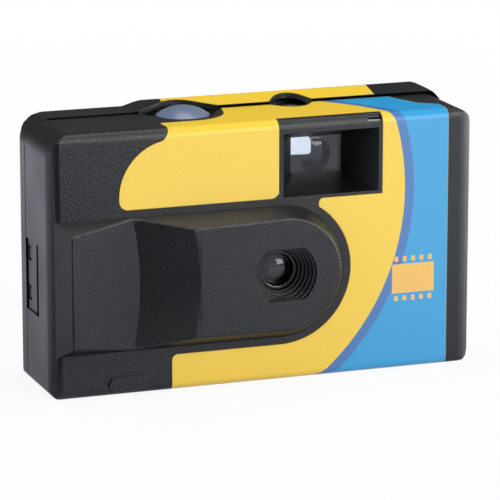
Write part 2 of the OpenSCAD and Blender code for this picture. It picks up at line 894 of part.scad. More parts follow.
// Toothed counter disc on the pin under the top
module counter_wheel() {
  color("#f0f0ec") placed() difference() {
    translate([counter_axis_x, counter_axis_y, counter_z]) linear_extrude(counter_t)
      polygon([for (i = [0:2 * counter_teeth - 1])
        (counter_r - (i % 2) * 0.55) * [cos(i * 180 / counter_teeth), sin(i * 180 / counter_teeth)]]);
    bar_z(counter_axis_x, counter_axis_y, 0, big, post_r + run);
  }
}

// Front lens of the viewfinder, hollow on its rear face
module viewfinder_front_lens() {
  r = finder_lens_curve;
  color("#cfdde2") placed() difference() {
    box([finder_x - finder_lens_w / 2, finder_x + finder_lens_w / 2], [finder_d, finder_d + finder_lens_t],
        [finder_z - finder_lens_h / 2, finder_z + finder_lens_h / 2]);
    translate([finder_x, finder_d + 1 + r, finder_z]) sphere(r, $fn = 128);
  }
}

// Eyepiece lens, crowned towards the film side
module viewfinder_eyepiece() {
  r = eyepiece_curve;
  color("#cfdde2") placed() intersection() {
    box([finder_x - eyepiece_w / 2, finder_x + eyepiece_w / 2],
        [body_d - wall - 2.2, body_d - wall], [finder_z - eyepiece_h / 2, finder_z + eyepiece_h / 2]);
    translate([finder_x, body_d - wall - 2.2 + r, finder_z]) sphere(r, $fn = 128);
  }
}

// Single meniscus lens, hollow towards the film
module taking_lens() {
  front_r = 7;
  rear_r = 9;
  color("#c9d6dc") placed() difference() {
    intersection() {
      bar_y(lens_x, lens_z, lens_front - 1.2, lens_front + lens_t, lens_r);
      translate([lens_x, lens_front - 1.2 + front_r, lens_z]) sphere(front_r, $fn = 128);
    }
    translate([lens_x, lens_front + lens_t - 0.6 + rear_r, lens_z]) sphere(rear_r, $fn = 128);
  }
}

// Ring that keeps the lens in its holder
module lens_retainer() {
  color("#3a3b40") placed() difference() {
    bar_y(lens_x, lens_z, lens_front - retainer_t, lens_front + 0.3, well_end_r - 0.15);
    bar_y(lens_x, lens_z, 0, 10, lens_r + seat);
  }
}

// Plate with the lens collar, carried on posts in front of the shutter
module lens_holder() {
  plate_front = lens_front + lens_t;
  color("#2f3035") placed() difference() {
    union() {
      fore_aft(plate_front, holder_back) difference() {
        translate([lens_x, lens_z]) round_rect(holder_half * [-1, 1], holder_half * [-1, 1], [3, 3, 3, 3]);
        translate([lens_x - holder_half - 1, lens_z + 1]) square([holder_notch + 1, holder_half]);
      }
      bar_y(lens_x, lens_z, lens_front + 0.3, plate_front + eps, lens_r + holder_collar);
    }
    bar_y(lens_x, lens_z, 0, plate_front, lens_r + seat);
    bar_y(lens_x, lens_z, 0, 10, lens_r - 0.8);
  }
}

// Swinging leaf that covers the shutter hole, with a tab for the drive lever and a tail for its spring
module shutter_blade() {
  pin = [blade_pin_x, blade_pin_z];
  color("#17181a") placed() fore_aft(blade_y, blade_y + blade_t) difference() {
    union() {
      translate([lens_x, lens_z]) circle(blade_disc_r);
      link(pin, [lens_x, lens_z], 2.6);
      link(pin, [blade_pin_x, tab_top - 1], 2);
      link(pin, [tail_x, blade_pin_z], 1.8);
      translate(pin) circle(2.2);
    }
    translate(pin) circle(1 + run);
    translate([tail_x, blade_pin_z]) circle(0.5);
  }
}

// Points of a coil that climbs from z[0] to z[1]
function coil(r, z, turns) =
  [for (i = [0:8 * turns]) [r * cos(i * 45), r * sin(i * 45), z[0] + (z[1] - z[0]) * i / (8 * turns)]];

// Six points round p, square to the direction d
function ring(p, d, r) =
  let (n = cross(d, [0.3, 0.5, 0.8]), u = n / norm(n), v = cross(d, u))
  [for (k = [0:5]) p + r * (cos(60 * k) * u + sin(60 * k) * v)];

// Wire of radius r swept along points
module wire(points, r) {
  n = len(points);
  dirs = [for (i = [0:n - 1])
    let (d = points[min(i + 1, n - 1)] - points[max(i - 1, 0)]) d / norm(d)];
  rings = [for (i = [0:n - 1]) ring(points[i], dirs[i], r)];
  side = [for (i = [0:n - 2]) for (k = [0:5])
    let (a = 6 * i + k, b = 6 * i + (k + 1) % 6) each [[a, b, b + 6], [a, b + 6, a + 6]]];
  caps = [for (k = [1:4]) each [[0, k + 1, k], [6 * n - 6, 6 * n - 6 + k, 6 * n - 6 + k + 1]]];
  polyhedron([for (g = rings) each g], concat(side, caps), convexity = 6);
}

// Pull spring from the blade's tail down to its peg
module shutter_spring() {
  r = peg_r + wire_r + 0.05;
  z = [spring_foot + 1.6, blade_pin_z - 1.6];
  reach = blade_y - gap - wire_r - spring_y;
  color("silver") placed() translate([tail_x, spring_y, 0])
    wire(concat([[r, 0, spring_foot - 0.6], [r, 0, spring_foot + 0.6]], coil(r, z, 8),
                [[r / 2, 0.2, z[1] + 0.9], [0, reach, blade_pin_z - 0.4],
                 [0, reach, blade_pin_z + 0.6]]), wire_r);
}

// Lever that knocks the blade open when it is let go
module drive_lever() {
  hub = [drive_x, drive_y];
  pin = [drive_x + coil_r + wire_r + 0.65, drive_y - 3.9];
  color("#d9d7cf") placed() {
    upright(lever_z, lever_z + lever_t) difference() {
      union() {
        translate(hub) circle(2.8);
        link(hub, [drive_x, blade_y + 0.9], 1.6);
        link([drive_x, pin[1]], pin, 1.8);
      }
      translate(hub) circle(post_r + run);
    }
    bar_z(pin[0], pin[1], lever_z, lever_z + lever_t + 1.6, 0.6);
  }
}

// Torsion spring round the drive lever's post
module drive_spring() {
  turns = 3;
  z = lever_z + lever_t + 0.6;
  pitch = 0.95;
  body = coil(coil_r, [z, z + turns * pitch], turns);
  last = body[len(body) - 1];
  color("silver") placed() translate([drive_x, drive_y, 0])
    wire(concat([body[0] - [0, 4.6, 0]], body, [last + [0, 3.8, 0]]), wire_r);
}

// Pawl lever between the button and the metering cam
module metering_lever() {
  hub = [meter_x, meter_y];
  color("#d9d7cf") placed() upright(lever_z, lever_z + lever_t) difference() {
    union() {
      translate(hub) circle(2.6);
      link(hub, [sprocket_x - cam_r - 1.1, sprocket_y + 1.2], 1.6);
      link(hub, [button_x + 0.4, button_y + 0.6], 2.2);
    }
    translate(hub) circle(post_r + run);
  }
}

// Film sprocket with its axle, the metering cam and the counter finger
module sprocket() {
  top = counter_z + counter_t;
  color("#e4e2da") placed() translate([sprocket_x, sprocket_y, 0]) {
    bar_z(0, 0, sprocket_z - 1, top, sprocket_axle_r);
    upright(sprocket_z, sprocket_z + 2.4) {
      circle(sprocket_r - 1.1);
      for (i = [0:sprocket_teeth - 1]) rotate(i * 360 / sprocket_teeth)
        polygon([[0, -0.95], [sprocket_r - 1, -0.95], [sprocket_r, -0.45],
                 [sprocket_r, 0.45], [sprocket_r - 1, 0.95], [0, 0.95]]);
    }
    upright(lever_z, lever_z + lever_t) difference() {
      circle(cam_r);
      rotate(172) translate([cam_r - 1, -0.9]) square([2, 1.8]);
    }
    upright(counter_z + 0.1, top) rotate(90) translate([0, -0.6]) square([finger_r, 1.2]);
  }
}

// Ribbed advance wheel with the stub that turns the cassette's spool
module thumbwheel() {
  ribs = 60;
  color("#26272b") placed() translate([cassette_x, cassette_y, 0]) {
    difference() {
      upright(wheel_z, wheel_z + wheel_t)
        polygon([for (i = [0:2 * ribs - 1])
          (wheel_r - (i % 2) * 0.6) * [cos(i * 180 / ribs), sin(i * 180 / ribs)]]);
      difference() {
        bar_z(0, 0, wheel_z + 1.4, big, wheel_r - 2.2);
        bar_z(0, 0, 0, big, 4.5);
      }
    }
    bar_z(0, 0, deck_z + deck_t + gap, wheel_z + 0.5, 6.5);
    bar_z(0, 0, deck_z - 4, wheel_z, 2.7);
  }
}

module cassette_shell() {
  z = [cassette_z + 0.6, cassette_z + cassette_h - 0.6];
  r = cassette_r - 0.3;
  lip_z = [lens_z - film_h / 2 - 1.7, lens_z + film_h / 2 + 1.7];
  lip_x = [cassette_x + 7, cassette_x + cassette_r];
  mid = film_y + film_t / 2;
  color("#3b3f46") placed() difference() {
    union() {
      bar_z(cassette_x, cassette_y, z[0], z[1], r);
      box(lip_x, [mid - 1, mid + 1], lip_z);
    }
    bar_z(cassette_x, cassette_y, 0, big, r - 0.3);
    box([cassette_x, right], [mid - 0.6, mid + 0.6], [lip_z[0] + 0.6, lip_z[1] - 0.6]);
  }
}

// Two pressed caps over the ends of the cassette
module cassette_caps() {
  cap_h = 2.4;
  color("#50545c") placed() for (top = [0, 1])
    translate([cassette_x, cassette_y, lens_z]) mirror([0, 0, top])
    translate([0, 0, -cassette_h / 2]) difference() {
      cylinder(h = cap_h, r = cassette_r);
      translate([0, 0, 0.5]) cylinder(h = cap_h, r = cassette_r - 0.25);
      translate([0, 0, -1]) cylinder(h = 5, r = 5.5 + run);
    }
}

module cassette_spool() {
  flange_z = film_h / 2 + 1;
  color("#1d1e20") placed() translate([cassette_x, cassette_y, 0]) difference() {
    union() {
      bar_z(0, 0, cassette_z + 0.1, deck_z + deck_t, 5.5);
      for (z = [lens_z - flange_z, lens_z + flange_z]) bar_z(0, 0, z - 0.4, z + 0.4, cassette_r - 1.2);
    }
    bar_z(0, 0, deck_z - 4 - gap, big, 2.7 + seat / 2);
    bar_z(0, 0, 0, cassette_z + 5, 2.7);
  }
}

// Two velvet strips inside the cassette's lips
module light_trap_felt() {
  mid = film_y + film_t / 2;
  color("#0e0e10") placed() for (s = [-1, 1])
    box([cassette_x + 8.6, cassette_x + cassette_r - 0.2],
        s < 0 ? [mid - 0.6, mid - 0.12] : [mid + 0.12, mid + 0.6],
        [lens_z - film_h / 2 - 1, lens_z + film_h / 2 + 1]);
}

module film_strip() {
  color("#6d5a4a") placed()
    box([cassette_x + 8.2, supply_x], [film_y, film_y + film_t], [lens_z - film_h / 2, lens_z + film_h / 2]);
}

module film_roll() {
  color("#5b4a3d") placed() difference() {
    bar_z(supply_x, supply_y, lens_z - film_h / 2, lens_z + film_h / 2, roll_r);
    bar_z(supply_x, supply_y, 0, big, 3.9);
  }
}

module supply_spool() {
  half = film_h / 2;
  color("#1d1e20") placed() {
    bar_z(supply_x, supply_y, lens_z - half - 1.4, lens_z + half + 1.4, 3.9 - seat / 2);
    bar_z(supply_x, supply_y, lens_z - half - 3.4, lens_z + half + 3.4, post_r);
  }
}

front_cover();
rear_cover();
main_frame();
front_label();
rear_label();
shutter_button();
counter_window();
counter_wheel();
viewfinder_front_lens();
viewfinder_eyepiece();
taking_lens();
lens_retainer();
lens_holder();
shutter_blade();
shutter_spring();
drive_lever();
drive_spring();
metering_lever();
sprocket();
thumbwheel();
cassette_shell();
cassette_caps();
cassette_spool();
light_trap_felt();
film_strip();
film_roll();
supply_spool();
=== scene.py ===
"""Finish of a disposable film camera: rounded mouldings, printed film label, clear optics and a plain studio."""

import math

import bmesh
import bpy
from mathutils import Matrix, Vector


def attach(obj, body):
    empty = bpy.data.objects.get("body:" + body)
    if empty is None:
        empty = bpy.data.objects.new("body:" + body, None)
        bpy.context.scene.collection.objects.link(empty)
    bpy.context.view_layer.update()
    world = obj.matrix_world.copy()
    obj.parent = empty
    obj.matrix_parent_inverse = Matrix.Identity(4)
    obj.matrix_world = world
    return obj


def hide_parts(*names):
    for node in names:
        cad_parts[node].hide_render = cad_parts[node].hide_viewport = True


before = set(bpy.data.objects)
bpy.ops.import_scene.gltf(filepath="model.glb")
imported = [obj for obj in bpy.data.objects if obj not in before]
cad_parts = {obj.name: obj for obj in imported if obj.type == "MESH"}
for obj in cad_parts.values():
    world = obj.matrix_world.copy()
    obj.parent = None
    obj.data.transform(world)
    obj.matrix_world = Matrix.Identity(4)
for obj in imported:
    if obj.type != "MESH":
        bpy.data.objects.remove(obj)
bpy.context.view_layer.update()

bl_info = {
    "name": "Disposable film camera",
    "version": (1, 0, 0),
    "blender": (4, 5, 0),
    "location": "View3D > Sidebar > Film camera",
    "description": "Rounds the camera's mouldings, prints its label and lights it",
    "category": "Object",
}

MM = 0.001
# Planes of the covers, in the part's frame
FRONT_Y = -12.15 * MM
SEAM_Y = 8.05 * MM
BACK_SKIN_Y = 16.3 * MM
END_SKIN_X = 53.9 * MM
TOP_Z = 65 * MM
REAR_TOP_Z = 67 * MM
MIDDLE_Z = TOP_Z / 2
# The small sunk window beside the viewfinder mouth: its two ends, and how far in and down it reaches
WINDOW_X = (26.35 * MM, 29.95 * MM)
WINDOW_DEEP = 2 * MM
# Height of the bands at the top and bottom over which the labels bend
BEND = 2.5 * MM
# Arc of the rear label's print: its middle, across and along the film, and its radius
REAR_ARC = (46 * MM, 66 * MM, 0)
REAR_ARC_R = 42 * MM
# Printed film-frame mark: half its width and height, and its holes
MARK_HALF_W = 5.6 * MM
MARK_HALF_H = 3.7 * MM
HOLE_PITCH = 2.24 * MM
HOLE_HALF_W = 0.5 * MM
HOLE_HALF_H = 0.65 * MM
HOLE_ROW = 5 * MM
# Room beside an edge, below which it stays sharp, gets the fine or the small rounding
NO_ROOM = 0.3 * MM
LITTLE_ROOM = 1 * MM
SOME_ROOM = 2 * MM
WHITE = (1, 1, 1)


def linear(hex_colour):
    """Linear RGBA of an sRGB hex colour."""
    parts = [int(hex_colour[i:i + 2], 16) / 255 for i in (1, 3, 5)]
    return tuple(p / 12.92 if p <= 0.04045 else ((p + 0.055) / 1.055) ** 2.4 for p in parts) + (1.0,)


def size(name, description, mm):
    """A length that the panel shows, with its default in millimetres."""
    return bpy.props.FloatProperty(name=name, description=description, default=mm * MM, min=0, precision=5,
                                   unit="LENGTH")


def colour(name, description, hex_colour):
    """A colour that the panel shows, with its default as sRGB hex."""
    return bpy.props.FloatVectorProperty(name=name, description=description, default=linear(hex_colour), size=4,
                                         min=0, max=1, subtype="COLOR")


class EdgeSizes(bpy.types.PropertyGroup):
    """Sizes of the rounded edges and the label's cut edge."""
    crest: size("Island edges", "Rounding of the lens island and the grip", 0.4)
    edge: size("Cover edges", "Rounding of the other edges that have room for it", 0.35)
    small: size("Small edges", "Rounding where a face is 1 to 2 mm wide", 0.22)
    fine: size("Fine edges", "Rounding of steps and slots under 1 mm", 0.1)
    seam: size("Seam edges", "Rounding on both sides of the seam between the covers", 0.22)
    # The line is in the core's colour, darkened in part as painted shade along the label's edge
    cut_edge: size("Label cut edge", "Width of the pale line along the label's cut edge", 0.1)


class PrintSizes(bpy.types.PropertyGroup):
    """Layout of the label's print."""
    arc_x: size("Arc centre across", "Middle of the arc that divides the two fields", -21.8)
    arc_v: size("Arc centre up", "Height of the middle of that arc", 46)
    arc_r: size("Arc radius", "Radius of the arc between the two fields", 58)
    stripe: size("Stripe width", "Width of the darker stripe along the arc", 2.4)
    frame_x: size("Frame mark across", "Middle of the printed film-frame mark", 38.6)
    frame_z: size("Frame mark height", "Height of that mark's middle", 23)


class Finishes(bpy.types.PropertyGroup):
    """Colours of the camera's materials."""
    cover: colour("Covers", "Moulded black of the covers", "#0e0f12")
    works: colour("Works", "Moulded black of the inner works", "#1c1d20")
    trim: colour("Trim", "Black of the advance wheel and the retaining ring", "#202226")
    field: colour("Label field", "Warm field of the label", "#f5cd32")
    panel: colour("Label panel", "Cool end panel of the label", "#1a9dd6")
    stripe: colour("Label stripe", "Stripe between the two fields", "#3a74b6")
    mark: colour("Frame mark", "Printed film-frame mark", "#f2bd55")
    # Partly painted shade: the core's ochre is darkened to also stand for the shadow between the label's edge and
    # the cover
    core_and_edge_shade: colour("Label core", "Uncoloured film that shows at the label's cut edge", "#b08a34")
    button: colour("Button", "Shutter button", "#6d7996")
    acetal: colour("Acetal", "Levers and wheels of natural acetal", "#dfdccf")
    counter: colour("Counter", "Frame counter wheel", "#eceae2")
    felt: colour("Felt", "Light-trap velvet", "#0d0d0e")
    film: colour("Film", "Grey-brown film base", "#5b4a45")


def node(tree, kind, inputs=None, **settings):
    """Add one node. Settings are its own properties, inputs are values or the sockets that feed it."""
    new = tree.nodes.new("ShaderNode" + kind)
    for key, value in settings.items():
        setattr(new, key, value)
    for key, value in (inputs or {}).items():
        if isinstance(value, bpy.types.NodeSocket):
            tree.links.new(value, new.inputs[key])
        else:
            new.inputs[key].default_value = value
    return new


def blank_material(name):
    """A new node material, with its tree, its shader and its object coordinates."""
    made = bpy.data.materials.new(name)
    made.use_nodes = True
    tree = made.node_tree
    return made, tree, tree.nodes["Principled BSDF"], node(tree, "TexCoord").outputs


def per_mm(feature):
    """Texture scale for a feature of that many millimetres, since coordinates are in metres."""
    return 1 / (feature * MM)


def moulded_abs(name, base, grain_mm, depth_mm, roughness, coat=0.0):
    """ABS from a spark-eroded mould: a fine even grain that breaks the light into a satin speckle.

    The grain of the front is drawn about twice as coarse as life, so that it shows at this distance. ABS has an IOR
    near 1.53, which is raised a little here for the sheen of the object."""
    made, tree, shader, coords = blank_material(name)
    grain = node(tree, "TexNoise", {"Vector": coords["Object"], "Scale": per_mm(grain_mm), "Detail": 3,
                                    "Roughness": 0.6})
    facing = node(tree, "SeparateXYZ", {"Vector": coords["Normal"]})
    front = node(tree, "MapRange", {"Value": facing.outputs["Y"], "From Min": -0.35, "From Max": -0.75,
                                    "To Min": 0.35, "To Max": 1.0})
    bump = node(tree, "Bump", {"Height": grain.outputs["Fac"], "Strength": front.outputs["Result"],
                               "Distance": depth_mm * MM})
    patches = node(tree, "TexNoise", {"Vector": coords["Object"], "Scale": per_mm(14), "Detail": 2})
    sheen = node(tree, "MapRange", {"Value": patches.outputs["Fac"], "From Min": 0.3, "From Max": 0.7,
                                    "To Min": roughness - 0.04, "To Max": roughness + 0.05})
    tint = node(tree, "MapRange", {"Value": grain.outputs["Fac"], "From Min": 0.3, "From Max": 0.7,
                                   "To Min": 0.86, "To Max": 1.16})
    shade = node(tree, "VectorMath", {0: base[:3], "Scale": tint.outputs["Result"]}, operation="SCALE")
    tree.links.new(shade.outputs["Vector"], shader.inputs["Base Color"])
    tree.links.new(sheen.outputs["Result"], shader.inputs["Roughness"])
    tree.links.new(bump.outputs["Normal"], shader.inputs["Normal"])
    shader.inputs["IOR"].default_value = 1.6
    shader.inputs["Coat Weight"].default_value = coat
    return made


def printed_film(name, prints, colours, back):
    """Polypropylene label film, offset printed and varnished: flat even ink under a soft gloss.

    The print wraps over the edges, so it is laid out on the height measured along the film."""
    made, tree, shader, coords = blank_material(name)
    place = node(tree, "SeparateXYZ", {"Vector": coords["Object"]}).outputs
    depth = node(tree, "Math", {0: place["Y"], 1: SEAM_Y if back else FRONT_Y}, operation="SUBTRACT")
    if back:
        # The rear label runs from the seam over the top, then down the back
        drop = node(tree, "Math", {0: REAR_TOP_Z, 1: place["Z"]}, operation="SUBTRACT")
        along = node(tree, "Math", {0: depth.outputs[0], 1: drop.outputs[0]}, operation="ADD")
        middle = REAR_ARC
    else:
        # The front label runs up the front and back over the top, or down and back under the bottom
        upper = node(tree, "Math", {0: place["Z"], 1: MIDDLE_Z}, operation="GREATER_THAN")
        turn = node(tree, "MapRange", {"Value": upper.outputs[0], "To Min": -1.0, "To Max": 1.0})
        along = node(tree, "Math", {0: depth.outputs[0], 1: turn.outputs["Result"], 2: place["Z"]},
                     operation="MULTIPLY_ADD")
        middle = (prints.arc_x, prints.arc_v, 0)
    flat = node(tree, "CombineXYZ", {"X": place["X"], "Y": along.outputs[0]})
    reach = node(tree, "VectorMath", {0: flat.outputs[0], 1: middle}, operation="DISTANCE")
    # Distance past the arc into the cool panel, which lies outside the arc in front and inside it at the back
    ends = (REAR_ARC_R, reach.outputs["Value"]) if back else (reach.outputs["Value"], prints.arc_r)
    inside = node(tree, "Math", {0: ends[0], 1: ends[1]}, operation="SUBTRACT")
    soft = 0.04 * MM
    in_panel = node(tree, "MapRange", {"Value": inside.outputs[0], "From Min": -soft, "From Max": soft})
    past_stripe = node(tree, "MapRange", {"Value": inside.outputs[0], "From Min": prints.stripe - soft,
                                          "From Max": prints.stripe + soft})
    end = node(tree, "MixRGB", {0: past_stripe.outputs["Result"], 1: colours.stripe, 2: colours.panel})
    ink = node(tree, "MixRGB", {0: in_panel.outputs["Result"], 1: colours.field, 2: end.outputs[0]}).outputs[0]
    if not back:
        ink = frame_mark(tree, place, depth.outputs[0], prints, colours, ink)
    mottle = node(tree, "TexNoise", {"Vector": coords["Object"], "Scale": per_mm(0.5), "Detail": 2})
    even = node(tree, "MapRange", {"Value": mottle.outputs["Fac"], "From Min": 0.3, "From Max": 0.7,
                                   "To Min": 0.985, "To Max": 1.015})
    inked = node(tree, "VectorMath", {0: ink, "Scale": even.outputs["Result"]}, operation="SCALE")
    waves = node(tree, "TexNoise", {"Vector": coords["Object"], "Scale": per_mm(9), "Detail": 1})
    bump = node(tree, "Bump", {"Height": waves.outputs["Fac"], "Strength": 0.2, "Distance": 0.03 * MM})
    tree.links.new(inked.outputs["Vector"], shader.inputs["Base Color"])
    tree.links.new(bump.outputs["Normal"], shader.inputs["Normal"])
    shader.inputs["Roughness"].default_value = 0.4
    shader.inputs["IOR"].default_value = 1.49
    # Faces that point up get no varnish coat, so that the top shows no glossy veil: painted shade on the top, set
    # by which way a face points
    facing = node(tree, "SeparateXYZ", {"Vector": coords["Normal"]})
    varnish = node(tree, "MapRange", {"Value": facing.outputs["Z"], "From Min": 0.02, "From Max": 0.3,
                                      "To Min": 1.0, "To Max": 0.0})
    tree.links.new(varnish.outputs["Result"], shader.inputs["Coat Weight"])
    shader.inputs["Coat Roughness"].default_value = 0.28
    shader.inputs["Coat IOR"].default_value = 1.75
    return made


def frame_mark(tree, place, depth, prints, colours, ink):
    """A plain film frame with its row of holes above and below, printed on the end panel."""
    across = node(tree, "Math", {0: place["X"], 1: prints.frame_x}, operation="SUBTRACT")
    up = node(tree, "Math", {0: place["Z"], 1: prints.frame_z}, operation="SUBTRACT")
    wide = node(tree, "Math", {0: across.outputs[0]}, operation="ABSOLUTE")
    high = node(tree, "Math", {0: up.outputs[0]}, operation="ABSOLUTE")
    inner = node(tree, "Math", {0: wide.outputs[0], 1: MARK_HALF_W}, operation="LESS_THAN")
    low = node(tree, "Math", {0: high.outputs[0], 1: MARK_HALF_H}, operation="LESS_THAN")
    hole = node(tree, "Math", {0: across.outputs[0], 1: HOLE_PITCH / 2}, operation="PINGPONG")
    hole_across = node(tree, "Math", {0: hole.outputs[0], 1: HOLE_HALF_W}, operation="LESS_THAN")
    row = node(tree, "Math", {0: high.outputs[0], 1: HOLE_ROW, 2: HOLE_HALF_H}, operation="COMPARE")
    on_front = node(tree, "Math", {0: depth, 1: 1 * MM}, operation="LESS_THAN")
    picture = node(tree, "Math", {0: inner.outputs[0], 1: low.outputs[0]}, operation="MULTIPLY")
    holes = node(tree, "Math", {0: hole_across.outputs[0], 1: row.outputs[0]}, operation="MULTIPLY")
    holes = node(tree, "Math", {0: holes.outputs[0], 1: inner.outputs[0]}, operation="MULTIPLY")
    both = node(tree, "Math", {0: picture.outputs[0], 1: holes.outputs[0]}, operation="ADD")
    shown = node(tree, "Math", {0: both.outputs[0], 1: on_front.outputs[0]}, operation="MULTIPLY")
    return node(tree, "MixRGB", {0: shown.outputs[0], 1: ink, 2: colours.mark}).outputs[0]


def plain_stock(name, base, roughness, grain_mm, depth_mm, metallic=0.0, ior=1.5):
    """Stock with a fine even surface: cut film core, acetal, rolled steel, velvet, by its grain and gloss."""
    made, tree, shader, coords = blank_material(name)
    grain = node(tree, "TexNoise", {"Vector": coords["Object"], "Scale": per_mm(grain_mm), "Detail": 3})
    tint = node(tree, "MapRange", {"Value": grain.outputs["Fac"], "From Min": 0.3, "From Max": 0.7,
                                   "To Min": 0.92, "To Max": 1.06})
    shade = node(tree, "VectorMath", {0: base[:3], "Scale": tint.outputs["Result"]}, operation="SCALE")
    bump = node(tree, "Bump", {"Height": grain.outputs["Fac"], "Strength": 0.5, "Distance": depth_mm * MM})
    tree.links.new(shade.outputs["Vector"], shader.inputs["Base Color"])
    tree.links.new(bump.outputs["Normal"], shader.inputs["Normal"])
    shader.inputs["Roughness"].default_value = roughness
    shader.inputs["Metallic"].default_value = metallic
    if not metallic:
        shader.inputs["IOR"].default_value = ior
    return made


def clear_acrylic(name, roughness):
    """Moulded acrylic: water clear, with the faint waviness of an unpolished moulding in its reflections."""
    made, tree, shader, coords = blank_material(name)
    waves = node(tree, "TexNoise", {"Vector": coords["Object"], "Scale": per_mm(4), "Detail": 0})
    bump = node(tree, "Bump", {"Height": waves.outputs["Fac"], "Strength": 0.05, "Distance": 0.01 * MM})
    tree.links.new(bump.outputs["Normal"], shader.inputs["Normal"])
    shader.inputs["Base Color"].default_value = linear("#f4f8fb")
    shader.inputs["Roughness"].default_value = roughness
    shader.inputs["IOR"].default_value = 1.49
    shader.inputs["Transmission Weight"].default_value = 1.0
    return made


def only(piece):
    """Select this piece alone and make it active."""
    bpy.ops.object.select_all(action="DESELECT")
    piece.select_set(True)
    bpy.context.view_layer.objects.active = piece


def finish_copy(node_name, name, body, merge_mm=0.002):
    """A merged copy of a CAD node that stands for it, ready for its edges to be rounded."""
    piece = bpy.data.objects.new(name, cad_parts[node_name].data.copy())
    bpy.context.scene.collection.objects.link(piece)
    only(piece)
    bpy.ops.object.mode_set(mode="EDIT")
    bpy.ops.mesh.select_all(action="SELECT")
    bpy.ops.mesh.remove_doubles(threshold=merge_mm * MM)
    bpy.ops.object.mode_set(mode="OBJECT")
    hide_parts(node_name)
    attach(piece, body)
    return piece


def room(face, edge):
    """How far a face reaches from one of its edges."""
    start = edge.verts[0].co
    along = (edge.verts[1].co - start).normalized()
    inward = face.normal.cross(along)
    reach = [(v.co - start).dot(inward) for v in face.verts]
    return max(reach) - min(reach)


def on_outside(point):
    """True for a point on the outer skin of the covers."""
    return (point.y < FRONT_Y + 0.3 * MM or point.z > TOP_Z - 1.3 * MM or point.z < 1 * MM
            or abs(point.x) > END_SKIN_X or point.y > BACK_SKIN_Y)


def rounding(edge, sizes):
    """Rounding that an edge of a cover gets, from its place and the room beside it."""
    if len(edge.link_faces) != 2 or not edge.is_convex:
        return 0
    middle = (edge.verts[0].co + edge.verts[1].co) / 2
    on_island = middle.y < FRONT_Y - 0.5 * MM
    if not on_outside(middle) or edge.calc_face_angle() < math.radians(18 if on_island else 25):
        return 0
    space = min(room(face, edge) for face in edge.link_faces)
    if space < NO_ROOM:
        return 0
    if abs(middle.y - SEAM_Y) < 0.1 * MM:
        return min(sizes.seam, space / 3)
    if on_island:
        # The island's rim has one rounding all the way, and the mouth of its lens well a finer one
        well = edge.calc_face_angle() > math.radians(80) and space < SOME_ROOM
        return sizes.fine if well else sizes.crest
    if space < LITTLE_ROOM:
        return sizes.fine
    return sizes.small if space < SOME_ROOM else sizes.edge


def round_cover(piece, sizes):
    """Round a cover's outer edges, each by its own amount, and even out the shading."""
    mesh = bmesh.new()
    mesh.from_mesh(piece.data)
    weights = mesh.edges.layers.float.new("bevel_weight_edge")
    for edge in mesh.edges:
        edge[weights] = rounding(edge, sizes) / sizes.crest
    mesh.to_mesh(piece.data)
    mesh.free()
    only(piece)
    bevel = piece.modifiers.new("Rounded edges", "BEVEL")
    bevel.limit_method = "WEIGHT"
    bevel.width = sizes.crest
    bevel.segments = 3
    bevel.use_clamp_overlap = False
    bevel.face_strength_mode = "FSTR_ALL"
    bpy.ops.object.modifier_apply(modifier=bevel.name)
    even_shading(piece)


def even_shading(piece):
    """Smooth shading within rounded edges, with the large faces kept flat."""
    only(piece)
    if piece.data.has_custom_normals:
        bpy.ops.mesh.customdata_custom_splitnormals_clear()
    bpy.ops.object.shade_smooth_by_angle(angle=math.radians(32))
    flat = piece.modifiers.new("Even shading", "WEIGHTED_NORMAL")
    flat.keep_sharp = True
    flat.use_face_influence = True
    flat.weight = 100
    bpy.ops.object.modifier_apply(modifier=flat.name)


def dress(piece, *materials):
    """Give a piece its materials, in order."""
    piece.data.materials.clear()
    for made in materials:
        piece.data.materials.append(made)


class FILMCAM_OT_covers(bpy.types.Operator):
    """Round the edges of both covers and give them their grain"""
    bl_idname = "filmcam.covers"
    bl_label = "Covers"

    def execute(self, context):
        sizes, colours = context.scene.filmcam_edges, context.scene.filmcam_finishes
        grain = moulded_abs("ABS spark-eroded black", colours.cover, 0.4, 0.16, 0.36)
        polished = moulded_abs("ABS polished black", linear("#050506"), 0.4, 0.0, 0.1)
        # The rounding along the seam is painted near black as painted shade: the two edges of the seam lie in each
        # other's shade and give back next to no light
        painted_seam_shade = plain_stock("ABS seam painted shade", linear("#050506"), 0.9, 0.4, 0.01, ior=1.1)
        for side in ("front", "rear"):
            piece = finish_copy(side + "_cover", side + "_cover_moulding", "body", 0.08)
            round_cover(piece, sizes)
            dress(piece, grain, polished, painted_seam_shade)
            self.part_faces(piece, sizes.seam)
        return {"FINISHED"}

    def part_faces(self, piece, seam):
        """Polish the small sunk window of the viewfinder surround, and paint the rounding along the seam dark as
        painted shade.
        """
        for face in piece.data.polygons:
            corners = [piece.data.vertices[i].co for i in face.vertices]
            if all(self.in_window(corner) for corner in corners):
                face.material_index = 1
            # Faces along the seam take the painted seam shade
            elif all(abs(corner.y - SEAM_Y) < 1.05 * seam for corner in corners):
                face.material_index = 2

    def in_window(self, point):
        """True for a point of the sunk window."""
        return (WINDOW_X[0] < point.x < WINDOW_X[1] and point.y < FRONT_Y + WINDOW_DEEP
                and point.z > TOP_Z - WINDOW_DEEP)


